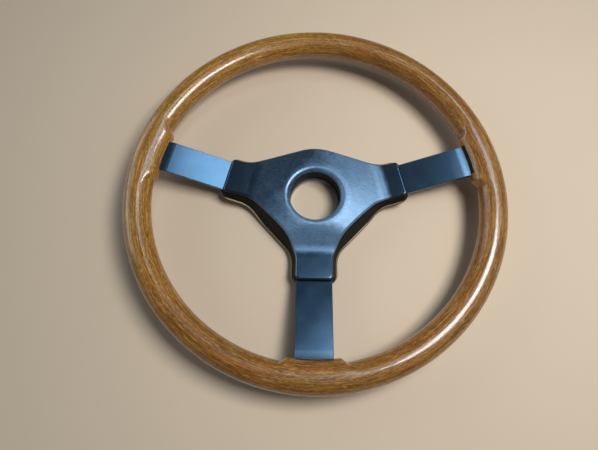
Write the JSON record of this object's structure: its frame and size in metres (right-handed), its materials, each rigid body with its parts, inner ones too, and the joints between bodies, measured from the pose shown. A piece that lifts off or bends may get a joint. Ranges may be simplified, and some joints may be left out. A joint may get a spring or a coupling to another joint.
{
  "type": "steering wheel",
  "caption": "Dished three-spoke steering wheel with a laminated wood rim, satin black spokes, a soft centre pad and a round hub opening.",
  "frame": {"origin": "centre of the flat mounting face at the back of the hub, on the steering axis", "axes": "+Z along the steering axis towards the driver, +Y to twelve o'clock, +X to three o'clock as the driver sees it"},
  "size_m": [0.3799, 0.38, 0.0436],
  "materials": {
    "rim_wood": "varnished",
    "core_steel": "plain",
    "rivet_aluminium": "satin",
    "spider_aluminium": "satin black anodised",
    "hub_aluminium": "turned",
    "plate_steel": "dull zinc plated",
    "pad_skin": "smooth satin",
    "pad_foam": "open cell",
    "fastener_steel": "zinc plated"
  },
  "bodies": {
    "root": {"rim_wood_front": "rim_wood", "rim_wood_rear": "rim_wood", "rim_core_ring": "core_steel", "spoke_rivets": "rivet_aluminium", "spider": "spider_aluminium", "hub_ring": "hub_aluminium", "hub_rivets": "rivet_aluminium", "rear_plate": "plate_steel", "pad_skin": "pad_skin", "pad_foam": "pad_foam", "pad_armature": "core_steel", "pad_studs": "fastener_steel", "stud_washers": "fastener_steel", "stud_nuts": "fastener_steel"}
  },
  "joints": []
}
